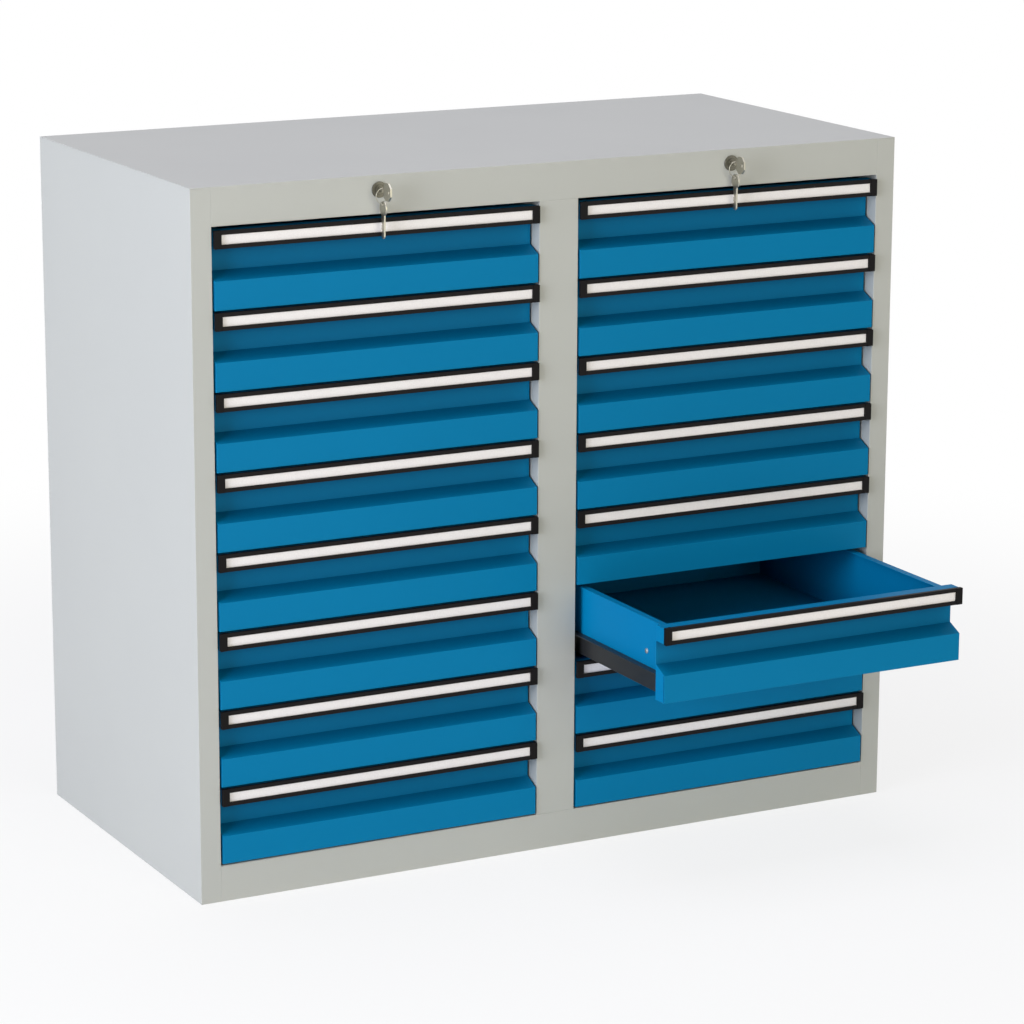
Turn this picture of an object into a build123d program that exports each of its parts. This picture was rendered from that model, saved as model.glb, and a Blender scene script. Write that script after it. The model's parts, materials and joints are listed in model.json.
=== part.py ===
from build123d import *
from math import cos, radians, sin, sqrt
import os

# Steel drawer cabinet with two columns of shallow drawers.
# Millimetres. X runs to the right seen from the front, Y to the back, Z up.
# The origin is the middle of the footprint, on the floor.

# ---------------------------------------------------------------- driving sizes

# Sheet
carcass_sheet = 1.2
drawer_sheet = 1.0
bracket_sheet = 1.5

# Carcass
drawers_per_column = 8
drawer_pitch = 100.0
opening_width = 445.5
cabinet_depth = 500.0
stile_width = 27.0
post_width = 55.0
top_rail_height = 48.0
base_rail_height = 47.0
stile_return = 45.0  # flange folded back from a stile or the centre post
rail_return = 25.0  # flange folded back from the top rail and the base rail
rail_upturn = 12.0
rear_post_depth = 25.0
base_corner_cut = 2.0  # off the floor's rear corners, clear of the bends of the wrap
bearer_width = 55.0  # channel under the middle of the base

# Gaps round the drawer fronts
side_gap = 2.5
front_gap = 2.5
head_gap = 5.0

# Drawer front, a sheet folded into a grip box, a finger recess and a lower panel
lower_panel_height = 36.0
lower_panel_proud = 2.0
ledge_rise = 10.0
recess_set_back = 20.0
grip_box_height = 20.5
open_column = "right"
open_number = 6  # counting from the top
pull_out = 225.0  # how far the open drawer stands out

# Grip strip with its label
grip_height = 22.0
grip_depth = 5.0
grip_overhang = 0.5
grip_back = 1.2
grip_lip = 5.0
grip_undercut = 1.2
label_thickness = 1.0
label_play = 0.2
cap_width = 9.0
cap_depth = 5.6

# Drawer box
side_space = 12.5  # between the drawer wall and the side of the opening
box_bottom = 6.0  # above the lower edge of the drawer front
box_top = 94.0
box_rim = 10.0
rear_space = 25.0  # behind the closed drawer box
catch_width = 20.0
catch_height = 80.0
catch_drop = 12.0

# Runners
runner_height = 28.0
runner_bottom = 5.0
runner_sheet = 1.2
runner_reach = 9.1
rail_sheet = 1.2
rail_reach = 9.5
rail_head_room = 3.0  # over the runner's flange, inside the rail
roller_diameter = 20.0
roller_flat_count = 12
roller_play = 0.3
roller_end_play = 2.3
runner_start = 23.0  # behind the carcass front
front_roller_set_back = 35.0
rear_roller_inset = 35.0
rail_end_space = 2.8

# Locks
lock_below_top = 18.0
barrel_diameter = 16.0
barrel_length = 22.0
barrel_play = 0.2
rosette_diameter = 20.0
rosette_thickness = 2.0
plug_diameter = 12.0
plug_play = 0.1
plug_proud = 0.5
rod_width = 6.0
rod_play = 0.3
bearing_ahead = 20.0
bearing_half_width = 14.0
bearing_foot = 16.0
crank_radius = 8.5
crank_half_turn = 45.0  # degrees either side of level
crank_thickness = 4.0
crank_width = 12.0
crank_tail = 7.0
crank_nose = 4.5
crank_pin_diameter = 5.0
crank_pin_play = 0.6
crank_gap = 1.0

# Key in the lock, and the spare key on its ring
neck_diameter = 5.0
neck_length = 11.5
bow_length = 20.0
bow_height = 22.0
bow_thickness = 2.4
bow_corner = 6.0
bow_hole_diameter = 5.0
bow_hole_inset = 5.0
ring_inner_diameter = 18.0
ring_wire = 1.6
ring_play = 0.3
spare_bow_radius = 9.0
spare_hole_diameter = 4.0
spare_hole_inset = 4.0
spare_thickness = 2.2
spare_blade_width = 7.0
spare_blade_length = 28.0

# Locking bars
bar_side_width = 5.0
bar_thickness = 3.0
bar_gap = 2.0  # behind the closed drawer box
bar_play = 0.3
bar_head = 9.0
catch_side_play = 1.5
catch_clearance = 2.0
catch_gap = 1.0
guide_height = 10.0
guide_wall = 3.0
guide_play = 0.5
upper_guide_over = 2  # the drawer that the upper guide stands over; the lower one is over the last

# ---------------------------------------------------------------- derived sizes

opening_height = head_gap + drawers_per_column * drawer_pitch
cabinet_height = base_rail_height + opening_height + top_rail_height
cabinet_width = 2 * stile_width + 2 * opening_width + post_width
half_width = cabinet_width / 2
frame_half_width = half_width - stile_width
front_y = -cabinet_depth / 2
back_y = cabinet_depth / 2
inner_back_y = back_y - carcass_sheet
inner_half_width = half_width - carcass_sheet
top_under = cabinet_height - carcass_sheet
opening_top = base_rail_height + opening_height
rear_post_y = inner_back_y - rear_post_depth
column_x = {"left": -(post_width + opening_width) / 2, "right": (post_width + opening_width) / 2}
sides = (-1, 1)  # left and right of a column or of the cabinet

front_width = opening_width - 2 * side_gap
front_height = drawer_pitch - front_gap
grip_half_width = front_width / 2 + grip_overhang
strip_half_width = grip_half_width - cap_width
box_half_width = opening_width / 2 - side_space
box_front = recess_set_back + drawer_sheet  # behind the carcass front
box_back = cabinet_depth - rear_space

# Heights above the lower edge of the drawer front
runner_top = runner_bottom + runner_height
roller_top = runner_top - runner_sheet - roller_play
roller_axis = roller_top - roller_diameter / 2
rail_floor = roller_axis - roller_diameter / 2 - roller_play
rail_bottom = rail_floor - rail_sheet
rail_top = runner_top + rail_head_room + rail_sheet

# The lock stands above the middle of its column, its locking bar behind the drawer boxes
lock_height = cabinet_height - lock_below_top
crank_rest = -crank_half_turn
bar_offset = crank_radius * (1 + cos(radians(crank_half_turn))) / 2
window_half_width = catch_width / 2 + catch_side_play
bar_half_width = window_half_width + bar_side_width
bar_front = box_back + bar_gap
bar_back = bar_front + bar_thickness
rod_end = bar_front - crank_gap - crank_thickness
catch_lip = bar_back + catch_gap
catch_bottom = catch_height - catch_drop
window_bottom = catch_bottom - catch_clearance
window_top = catch_height + bracket_sheet + catch_clearance


def drawer_height(number):
    """Height of the lower edge of a drawer front, counting drawers from the top."""
    return base_rail_height + front_gap + (drawers_per_column - number) * drawer_pitch


def level(seat, z=0.0):
    """Level plane, z above the seat."""
    return Plane(seat.origin + Vector(0, 0, z))


def facing(seat, y=0.0):
    """Upright plane that faces the front, y behind the seat."""
    return Plane(seat.origin + Vector(0, y, 0), x_dir=(1, 0, 0), z_dir=(0, -1, 0))


def across(seat, x=0.0):
    """Upright plane square to the cabinet's width, x to the right of the seat."""
    return Plane(seat.origin + Vector(x, 0, 0), x_dir=(0, 1, 0), z_dir=(1, 0, 0))


def write(name, pieces):
    """Writes the solids of one sub-part under its name."""
    group = Compound(label=name, children=[solid for piece in pieces for solid in piece.solids()])
    export_step(group, f"parts/{name}.step")


os.makedirs("parts", exist_ok=True)
cabinet = Plane.XY

# ---------------------------------------------------------------- carcass

# Left side, back and right side bent from one sheet, with the front stiles folded in
with BuildPart() as body_wrap:
    with BuildSketch(cabinet):
        with BuildLine():
            Polyline(
                (-frame_half_width, front_y + stile_return),
                (-frame_half_width, front_y),
                (-half_width, front_y),
                (-half_width, back_y),
                (half_width, back_y),
                (half_width, front_y),
                (frame_half_width, front_y),
                (frame_half_width, front_y + stile_return),
            )
            offset(amount=carcass_sheet, side=Side.RIGHT)
        make_face()
    extrude(amount=top_under)

# Top, folded down at the front into the rail that carries the locks
with BuildPart() as top_panel:
    with BuildSketch(across(cabinet, -frame_half_width)):
        with BuildLine():
            Polyline(
                (front_y + rail_return, opening_top + rail_upturn),
                (front_y + rail_return, opening_top),
                (front_y, opening_top),
                (front_y, cabinet_height),
                (back_y, cabinet_height),
            )
            offset(amount=carcass_sheet, side=Side.RIGHT)
        make_face()
    extrude(amount=2 * frame_half_width)
    with BuildSketch(level(cabinet, top_under)):
        Rectangle(cabinet_width, cabinet_depth)
    extrude(amount=carcass_sheet)
    with BuildSketch(facing(cabinet, front_y)):
        with Locations((column_x["left"], lock_height), (column_x["right"], lock_height)):
            Circle(barrel_diameter / 2 + barrel_play)
    extrude(amount=-carcass_sheet, mode=Mode.SUBTRACT)

# Base floor, let in between the stiles
with BuildPart() as base_floor:
    with BuildSketch(level(cabinet, base_rail_height - carcass_sheet)):
        with BuildLine():
            Polyline(
                (-frame_half_width, front_y),
                (frame_half_width, front_y),
                (frame_half_width, front_y + stile_return),
                (inner_half_width, front_y + stile_return),
                (inner_half_width, inner_back_y - base_corner_cut),
                (inner_half_width - base_corner_cut, inner_back_y),
                (base_corner_cut - inner_half_width, inner_back_y),
                (-inner_half_width, inner_back_y - base_corner_cut),
                (-inner_half_width, front_y + stile_return),
                (-frame_half_width, front_y + stile_return),
                close=True,
            )
        make_face()
    extrude(amount=carcass_sheet)

# Base rail under the front edge of the floor, turned in at its foot
with BuildPart() as base_rail:
    with BuildSketch(across(cabinet, -frame_half_width)):
        with BuildLine():
            Polyline(
                (front_y, base_rail_height - carcass_sheet),
                (front_y, 0),
                (front_y + rail_return, 0),
            )
            offset(amount=carcass_sheet, side=Side.LEFT)
        make_face()
    extrude(amount=2 * frame_half_width)

# Flanges that carry the floor along the sides and the rear
with BuildPart() as base_flanges:
    with BuildSketch(cabinet):
        flange_front = front_y + stile_return
        flange_rear = inner_back_y - base_corner_cut
        flange_x = inner_half_width - carcass_sheet / 2
        flange_y = (flange_front + flange_rear) / 2
        with Locations((-flange_x, flange_y), (flange_x, flange_y)):
            Rectangle(carcass_sheet, flange_rear - flange_front)
        with Locations((0, inner_back_y - carcass_sheet / 2)):
            Rectangle(2 * (inner_half_width - base_corner_cut), carcass_sheet)
    extrude(amount=base_rail_height - carcass_sheet)

# Channel under the middle of the base, from the base rail's flange to the back
with BuildPart() as base_bearer:
    with BuildSketch(facing(cabinet, inner_back_y - carcass_sheet)):
        with BuildLine():
            Polyline(
                (-bearer_width / 2, base_rail_height - carcass_sheet),
                (-bearer_width / 2, 0),
                (bearer_width / 2, 0),
                (bearer_width / 2, base_rail_height - carcass_sheet),
            )
            offset(amount=carcass_sheet, side=Side.LEFT)
        make_face()
    extrude(amount=inner_back_y - carcass_sheet - front_y - rail_return)

# Centre wall: a channel at the front, a single sheet, and a channel at the rear
with BuildPart() as centre_wall:
    with BuildSketch(level(cabinet, base_rail_height)):
        with BuildLine():
            Polyline(
                (-post_width / 2, front_y + stile_return),
                (-post_width / 2, front_y),
                (post_width / 2, front_y),
                (post_width / 2, front_y + stile_return),
            )
            offset(amount=carcass_sheet, side=Side.LEFT)
        make_face()
    extrude(amount=opening_height)
    with BuildSketch(level(cabinet, base_rail_height)):
        with BuildLine():
            Polyline(
                (post_width / 2, inner_back_y),
                (post_width / 2, rear_post_y),
                (-post_width / 2, rear_post_y),
                (-post_width / 2, inner_back_y),
            )
            offset(amount=carcass_sheet, side=Side.RIGHT)
        make_face()
    extrude(amount=top_under - base_rail_height)
    with BuildSketch(across(cabinet, -carcass_sheet / 2)):
        with BuildLine():
            Polyline(
                (front_y + carcass_sheet, base_rail_height),
                (rear_post_y, base_rail_height),
                (rear_post_y, top_under),
                (front_y + stile_return, top_under),
                (front_y + stile_return, opening_top),
                (front_y + carcass_sheet, opening_top),
                close=True,
            )
        make_face()
    extrude(amount=carcass_sheet)


def make_rear_post(side):
    """Angle in the rear corner that carries the rear ends of the rails."""
    with BuildPart() as rear_post:
        with BuildSketch(level(cabinet, base_rail_height)):
            with BuildLine():
                Polyline(
                    (side * inner_half_width, rear_post_y),
                    (side * frame_half_width, rear_post_y),
                    (side * frame_half_width, inner_back_y),
                )
                offset(amount=carcass_sheet, side=Side.LEFT if side < 0 else Side.RIGHT)
            make_face()
        extrude(amount=top_under - base_rail_height)
    return rear_post.part


# ---------------------------------------------------------------- runners


def make_rail(seat, side):
    """Cabinet rail, a channel that opens towards the drawer, from the front post to the rear post."""
    wall = side * opening_width / 2
    with BuildPart() as rail:
        with BuildSketch(facing(seat, runner_start)):
            with BuildLine():
                Polyline(
                    (wall - side * rail_reach, rail_bottom),
                    (wall, rail_bottom),
                    (wall, rail_top),
                    (wall - side * rail_reach, rail_top),
                )
                offset(amount=rail_sheet, side=Side.LEFT if side > 0 else Side.RIGHT)
            make_face()
        extrude(amount=-(cabinet_depth - carcass_sheet - rail_end_space - runner_start))
    return rail.part


def make_front_roller(seat, side):
    """Roller at the front end of a cabinet rail, under the runner's flange."""
    with BuildPart() as front_roller:
        with BuildSketch(across(seat, side * (opening_width / 2 - rail_sheet))):
            with Locations((front_roller_set_back, roller_axis)):
                RegularPolygon(roller_diameter / 2, roller_flat_count)
        extrude(amount=-side * (side_space - rail_sheet - runner_sheet - roller_end_play))
    return front_roller.part


def make_runner(seat, side):
    """Drawer runner, an angle along the foot of the box wall that rides on the front roller."""
    wall = side * box_half_width
    with BuildPart() as runner:
        with BuildSketch(facing(seat, runner_start)):
            with BuildLine():
                Polyline(
                    (wall, runner_bottom),
                    (wall, runner_top),
                    (wall + side * (runner_sheet + runner_reach), runner_top),
                )
                offset(amount=runner_sheet, side=Side.RIGHT if side > 0 else Side.LEFT)
            make_face()
        extrude(amount=runner_start - box_back)
    return runner.part


def make_rear_roller(seat, side):
    """Roller at the rear end of a drawer runner, inside the cabinet rail."""
    with BuildPart() as rear_roller:
        with BuildSketch(across(seat, side * (box_half_width + runner_sheet))):
            with Locations((box_back - rear_roller_inset, roller_axis)):
                RegularPolygon(roller_diameter / 2, roller_flat_count)
        extrude(amount=side * (side_space - rail_sheet - runner_sheet - roller_end_play))
    return rear_roller.part


# ---------------------------------------------------------------- drawers


def make_front_panel(seat):
    """Drawer front: one sheet folded from the lower panel over the ledge and recess to the grip box."""
    grip_box_bottom = front_height - drawer_sheet - grip_box_height
    with BuildPart() as front_panel:
        with BuildSketch(across(seat, -front_width / 2)):
            with BuildLine():
                Polyline(
                    (recess_set_back, 0),
                    (-lower_panel_proud, 0),
                    (-lower_panel_proud, lower_panel_height),
                    (recess_set_back, lower_panel_height + ledge_rise),
                    (recess_set_back, grip_box_bottom),
                    (0, grip_box_bottom),
                    (0, front_height - drawer_sheet),
                    (recess_set_back, front_height - drawer_sheet),
                )
                offset(amount=drawer_sheet, side=Side.RIGHT)
            make_face()
        extrude(amount=front_width)
        for end, inward in ((-front_width / 2, 1), (front_width / 2, -1)):
            with BuildSketch(across(seat, end)):
                with BuildLine():
                    Polyline(
                        (0, drawer_sheet / 2),
                        (0, lower_panel_height),
                        (recess_set_back, lower_panel_height + ledge_rise - drawer_sheet),
                        (recess_set_back, drawer_sheet / 2),
                        close=True,
                    )
                make_face()
                with Locations((recess_set_back / 2, grip_box_bottom + grip_box_height / 2)):
                    Rectangle(recess_set_back - drawer_sheet, grip_box_height - drawer_sheet)
            extrude(amount=inward * drawer_sheet)
    return front_panel.part


def make_box(seat):
    """Drawer box: floor and walls with turned-in rims, closed at the front and the rear."""
    with BuildPart() as box:
        with BuildSketch(facing(seat, box_front)):
            with BuildLine():
                Polyline(
                    (box_rim - box_half_width, box_top),
                    (-box_half_width, box_top),
                    (-box_half_width, box_bottom),
                    (box_half_width, box_bottom),
                    (box_half_width, box_top),
                    (box_half_width - box_rim, box_top),
                )
                offset(amount=drawer_sheet, side=Side.LEFT)
            make_face()
        extrude(amount=box_front - box_back)
        for y in (box_front, box_back - drawer_sheet):
            with BuildSketch(facing(seat, y)):
                with Locations((0, (box_bottom + box_top) / 2)):
                    Rectangle(2 * box_half_width, box_top - box_bottom)
            extrude(amount=-drawer_sheet)
    return box.part


def make_catch_arm(seat):
    """Arm behind the box that reaches through a window of the locking bar."""
    with BuildPart() as catch_arm:
        with BuildSketch(level(seat, catch_height)):
            with Locations((bar_offset, (box_back + catch_lip + bracket_sheet) / 2)):
                Rectangle(catch_width, catch_lip + bracket_sheet - box_back)
        extrude(amount=bracket_sheet)
    return catch_arm.part


def make_catch_lip(seat):
    """Lip that hangs from the arm, behind the locking bar."""
    with BuildPart() as catch_lip_plate:
        with BuildSketch(facing(seat, catch_lip)):
            with Locations((bar_offset, (catch_bottom + catch_height) / 2)):
                Rectangle(catch_width, catch_drop)
        extrude(amount=-bracket_sheet)
    return catch_lip_plate.part


# ---------------------------------------------------------------- grips


def make_strip(seat):
    """Grip strip, a channel with undercut lips that hold the label."""
    low = front_height - grip_height
    lip_back = grip_back + label_thickness + label_play
    with BuildPart() as strip:
        with BuildSketch(across(seat, -strip_half_width)):
            with BuildLine():
                Polyline(
                    (0, low),
                    (-grip_depth, low),
                    (-grip_depth, low + grip_lip),
                    (-lip_back, low + grip_lip),
                    (-lip_back, low + grip_lip - grip_undercut),
                    (-grip_back, low + grip_lip - grip_undercut),
                    (-grip_back, front_height - grip_lip + grip_undercut),
                    (-lip_back, front_height - grip_lip + grip_undercut),
                    (-lip_back, front_height - grip_lip),
                    (-grip_depth, front_height - grip_lip),
                    (-grip_depth, front_height),
                    (0, front_height),
                    close=True,
                )
            make_face()
        extrude(amount=2 * strip_half_width)
    return strip.part


def make_label(seat):
    """Label strip, slid in behind the lips of the grip strip."""
    label_height = grip_height - 2 * (grip_lip - grip_undercut) - label_play
    with BuildPart() as label:
        with BuildSketch(facing(seat, -grip_back - label_play / 2 - label_thickness)):
            with Locations((0, front_height - grip_height / 2)):
                Rectangle(2 * strip_half_width, label_height)
        extrude(amount=-label_thickness)
    return label.part


def make_cap(seat, side):
    """Moulded end cap of the grip strip."""
    with BuildPart() as cap:
        with BuildSketch(level(seat, front_height - grip_height)):
            with Locations((side * (grip_half_width - cap_width / 2), -cap_depth / 2)):
                Rectangle(cap_width, cap_depth)
        extrude(amount=grip_height)
    return cap.part


# ---------------------------------------------------------------- locks


def make_barrel(seat):
    """Lock barrel with the rosette that seats on the rail, one turned piece."""
    bore = plug_diameter / 2 + plug_play
    with BuildPart() as barrel:
        with BuildSketch(across(seat)):
            with BuildLine():
                Polyline(
                    (-rosette_thickness, bore),
                    (-rosette_thickness, rosette_diameter / 2),
                    (0, rosette_diameter / 2),
                    (0, barrel_diameter / 2),
                    (barrel_length, barrel_diameter / 2),
                    (barrel_length, bore),
                    close=True,
                )
            make_face()
        revolve(axis=Axis(seat.origin, (0, 1, 0)))
    return barrel.part


def make_bearing(seat):
    """Bracket under the top that carries the rear end of the lock rod."""
    head_room = top_under - lock_height
    plate = rod_end - bearing_ahead
    with BuildPart() as bearing:
        with BuildSketch(across(seat, -bearing_half_width)):
            with BuildLine():
                Polyline(
                    (plate, -bearing_half_width),
                    (plate, head_room),
                    (plate + bearing_foot, head_room),
                )
                offset(amount=bracket_sheet, side=Side.RIGHT)
            make_face()
        extrude(amount=2 * bearing_half_width)
        with BuildSketch(facing(seat, plate)):
            Circle(rod_width / sqrt(2) + rod_play)
        extrude(amount=-bracket_sheet, mode=Mode.SUBTRACT)
    return bearing.part


def make_plug(seat):
    """Lock plug with the square rod that runs back over the drawers to the crank."""
    with BuildPart() as plug:
        with BuildSketch(facing(seat, -rosette_thickness - plug_proud)):
            Circle(plug_diameter / 2)
        extrude(amount=-(rosette_thickness + plug_proud + barrel_length))
        with BuildSketch(facing(seat, barrel_length)):
            Rectangle(rod_width, rod_width)
        extrude(amount=-(rod_end - barrel_length))
    return plug.part


def make_crank(seat):
    """Crank at the rear end of the rod, with the pin that lifts the locking bar."""
    angle = radians(crank_rest)
    eye = (crank_radius * cos(angle), crank_radius * sin(angle))
    with BuildPart() as crank:
        with BuildSketch(facing(seat, rod_end)):
            reach = crank_radius + crank_nose
            with Locations(Rot(0, 0, crank_rest) * Pos((reach - crank_tail) / 2, 0)):
                Rectangle(reach + crank_tail, crank_width)
        extrude(amount=-crank_thickness)
        with BuildSketch(facing(seat, rod_end + crank_thickness)):
            with Locations(eye):
                Circle(crank_pin_diameter / 2)
        extrude(amount=-(crank_gap + bar_thickness + crank_gap))
    return crank.part


def make_key(seat):
    """Key in the lock: round neck and flat bow, blade level with the plug's face."""
    plug_face = -rosette_thickness - plug_proud
    bow_start = plug_face - neck_length
    with BuildPart() as key:
        with BuildSketch(facing(seat, plug_face)):
            Circle(neck_diameter / 2)
        extrude(amount=neck_length)
        with BuildSketch(across(seat, -bow_thickness / 2)):
            with Locations((bow_start - bow_length / 2, 0)):
                Rectangle(bow_length, bow_height)
            chamfer(vertices(), length=bow_corner)
            with Locations((bow_start - bow_length + bow_hole_inset, 0)):
                Circle(bow_hole_diameter / 2, mode=Mode.SUBTRACT)
        extrude(amount=bow_thickness)
    return key.part


def make_key_ring(seat):
    """Split ring that hangs on the neck of the key."""
    plug_face = -rosette_thickness - plug_proud
    drop = ring_inner_diameter / 2 - neck_diameter / 2 - ring_play
    with BuildPart() as key_ring:
        with BuildSketch(facing(seat, plug_face - neck_length + ring_wire)):
            with Locations((0, -drop)):
                Circle(ring_inner_diameter / 2 + ring_wire)
                Circle(ring_inner_diameter / 2, mode=Mode.SUBTRACT)
        extrude(amount=ring_wire / 2, both=True)
    return key_ring.part


def make_spare_key(seat):
    """Spare key that hangs edge-on from the ring, clear of the drawer below the lock."""
    plug_face = -rosette_thickness - plug_proud
    hang_y = plug_face - neck_length + ring_wire
    ring_bottom = neck_diameter / 2 + ring_play - ring_inner_diameter
    hole_z = ring_bottom + ring_play - spare_hole_diameter / 2
    bow_z = hole_z - spare_bow_radius + spare_hole_inset
    with BuildPart() as spare_key:
        with BuildSketch(across(seat, -spare_thickness / 2)):
            with Locations((hang_y, bow_z)):
                Circle(spare_bow_radius)
            with Locations((hang_y, bow_z - (spare_bow_radius + spare_blade_length) / 2)):
                Rectangle(spare_blade_width, spare_bow_radius + spare_blade_length)
            with Locations((hang_y, hole_z)):
                Circle(spare_hole_diameter / 2, mode=Mode.SUBTRACT)
        extrude(amount=spare_thickness)
    return spare_key.part


# ---------------------------------------------------------------- locking bars


def make_bar_pieces(seat):
    """Ladder-shaped locking bar: two upright strips, and plates between the windows for the catches."""
    bottom = base_rail_height + bar_play - lock_height
    crank_level = crank_radius * sin(radians(crank_rest))
    top = crank_level + bar_head
    pieces = []
    for side in sides:
        with BuildPart() as strip:
            with BuildSketch(facing(seat, bar_front)):
                strip_x = bar_offset + side * (window_half_width + bar_side_width / 2)
                with Locations((strip_x, (bottom + top) / 2)):
                    Rectangle(bar_side_width, top - bottom)
            extrude(amount=-bar_thickness)
        pieces.append(strip.part)
    windows = [drawer_height(number) - lock_height for number in range(1, drawers_per_column + 1)]
    plate_tops = [top] + [height + window_bottom for height in windows]
    plate_bottoms = [height + window_top for height in windows] + [bottom]
    for plate_top, plate_bottom in zip(plate_tops, plate_bottoms):
        with BuildPart() as plate:
            with BuildSketch(facing(seat, bar_front)):
                with Locations((bar_offset, (plate_top + plate_bottom) / 2)):
                    Rectangle(2 * window_half_width, plate_top - plate_bottom)
                if plate_top == top:
                    pin_sweep = crank_radius * (1 - cos(radians(crank_half_turn)))
                    slot_height = crank_pin_diameter + 2 * crank_pin_play
                    with Locations((bar_offset, crank_level)):
                        Rectangle(slot_height + pin_sweep, slot_height, mode=Mode.SUBTRACT)
            extrude(amount=-bar_thickness)
        pieces.append(plate.part)
    return pieces


def make_bar_guide(seat):
    """Guide on the back that keeps the locking bar upright, in the space between two drawer boxes."""
    slot_front = bar_front - guide_play
    slot_back = bar_back + guide_play
    wall_y = cabinet_depth - carcass_sheet
    half = bar_half_width + guide_play
    with BuildPart() as bar_guide:
        with BuildSketch(level(seat, -guide_height / 2)):
            with BuildLine():
                Polyline(
                    (bar_offset - half - guide_wall, slot_front - guide_wall),
                    (bar_offset + half + guide_wall, slot_front - guide_wall),
                    (bar_offset + half + guide_wall, wall_y),
                    (bar_offset + half, wall_y),
                    (bar_offset + half, slot_back + guide_wall),
                    (bar_offset - half, slot_back + guide_wall),
                    (bar_offset - half, wall_y),
                    (bar_offset - half - guide_wall, wall_y),
                    close=True,
                )
            make_face()
            with Locations((bar_offset, (slot_front + slot_back) / 2)):
                Rectangle(2 * half, slot_back - slot_front, mode=Mode.SUBTRACT)
        extrude(amount=guide_height)
    return bar_guide.part


# ---------------------------------------------------------------- the cabinet, put together

rails = []
barrels = []
bearings = []
guides = []
for column, x in column_x.items():
    for number in range(1, drawers_per_column + 1):
        height = drawer_height(number)
        closed = Plane((x, front_y, height))
        opened = pull_out if (column, number) == (open_column, open_number) else 0.0
        seat = Plane((x, front_y - opened, height))
        write(f"drawer_box_{column}_{number}", [
            make_front_panel(seat), make_box(seat), make_catch_arm(seat), make_catch_lip(seat)])
        write(f"grip_{column}_{number}", [
            make_strip(seat), make_label(seat), *[make_cap(seat, side) for side in sides]])
        write(f"runners_{column}_{number}", [
            make(seat, side) for make in (make_runner, make_rear_roller) for side in sides])
        rails += [make(closed, side) for make in (make_rail, make_front_roller) for side in sides]
        if number in (upper_guide_over, drawers_per_column):
            between_boxes = height + (box_bottom + box_top + drawer_pitch) / 2
            guides.append(make_bar_guide(Plane((x, front_y, between_boxes))))
    lock_seat = Plane((x, front_y, lock_height))
    barrels.append(make_barrel(lock_seat))
    bearings.append(make_bearing(lock_seat))
    write(f"lock_{column}", [make_plug(lock_seat), make_crank(lock_seat), make_key(lock_seat)])
    write(f"spare_key_{column}", [make_key_ring(lock_seat), make_spare_key(lock_seat)])
    write(f"lock_bar_{column}", make_bar_pieces(lock_seat))

write("body_wrap", [body_wrap.part, *guides])
write("top_panel", [top_panel.part, *barrels, *bearings])
write("base_panel", [base_floor.part, base_rail.part, base_flanges.part, base_bearer.part])
write("centre_wall", [centre_wall.part])
write("rear_posts", [make_rear_post(side) for side in sides])
write("cabinet_rails", rails)
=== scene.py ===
"""Looks of a steel drawer cabinet: a sheet-metal carcass with two columns of shallow drawers."""

import json
import logging
from collections.abc import Callable, Sequence
from dataclasses import dataclass, field
from enum import Enum
from math import cos, pi, radians, sin

import bpy
from mathutils import Matrix, Vector

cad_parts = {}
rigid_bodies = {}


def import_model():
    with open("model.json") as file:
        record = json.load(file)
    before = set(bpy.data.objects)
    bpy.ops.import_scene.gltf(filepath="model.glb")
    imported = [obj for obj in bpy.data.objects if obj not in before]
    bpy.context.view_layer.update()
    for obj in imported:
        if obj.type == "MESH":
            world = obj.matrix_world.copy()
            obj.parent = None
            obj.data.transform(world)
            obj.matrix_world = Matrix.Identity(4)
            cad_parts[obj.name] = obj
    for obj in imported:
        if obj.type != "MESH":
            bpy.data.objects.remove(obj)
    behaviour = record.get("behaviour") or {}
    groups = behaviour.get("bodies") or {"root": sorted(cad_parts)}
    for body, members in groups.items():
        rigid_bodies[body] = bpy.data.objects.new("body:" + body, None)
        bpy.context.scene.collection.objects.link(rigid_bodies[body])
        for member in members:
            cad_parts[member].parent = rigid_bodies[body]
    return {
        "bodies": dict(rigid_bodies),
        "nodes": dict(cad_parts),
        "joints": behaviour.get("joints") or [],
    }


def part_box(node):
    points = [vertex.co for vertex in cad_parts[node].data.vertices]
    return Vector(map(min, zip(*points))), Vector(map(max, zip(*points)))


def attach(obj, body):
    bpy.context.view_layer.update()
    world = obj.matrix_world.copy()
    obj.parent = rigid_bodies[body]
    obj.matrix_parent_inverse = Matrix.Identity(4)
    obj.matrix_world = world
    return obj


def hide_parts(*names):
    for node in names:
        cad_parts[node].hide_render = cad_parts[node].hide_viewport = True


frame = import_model()

MM = 0.001
TOUCH = 0.00004  # two places nearer than this are the same
WELD = 0.000005  # corners nearer than this are one corner
FOLD_ANGLE = radians(40)  # edges sharper than this are rounded
HEAD_STEPS = 24  # facets round a pin, a screw head or a small hole
MIX_SHARE, MIX_FROM, MIX_TO, MIXED = 0, 6, 7, 2  # a colour mix's inputs, and its output
LOG = logging.getLogger("cabinet")

Point = tuple[float, float]
Colour = tuple[float, float, float, float]


class Column(Enum):
    """The two columns of drawers, by the words in the node names."""

    LEFT = "left"
    RIGHT = "right"


class Slot(Enum):
    """Finishes of the record that added pieces belong to."""

    RUNNER = "runner_coating"
    KEY = "key_metal"
    STEEL = "galvanised_steel"


# ---------------------------------------------------------------- shader helpers


def linear(colour: str) -> Colour:
    """Turns an sRGB hex value into a linear colour.

    Args:
        colour: Hex value such as "#0079AB".

    Returns:
        Linear red, green and blue, with alpha 1.
    """
    shares = [int(colour[at:at + 2], 16) / 255 for at in (1, 3, 5)]
    red, green, blue = (c / 12.92 if c <= 0.04045 else ((c + 0.055) / 1.055) ** 2.4 for c in shares)
    return red, green, blue, 1.0


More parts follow.
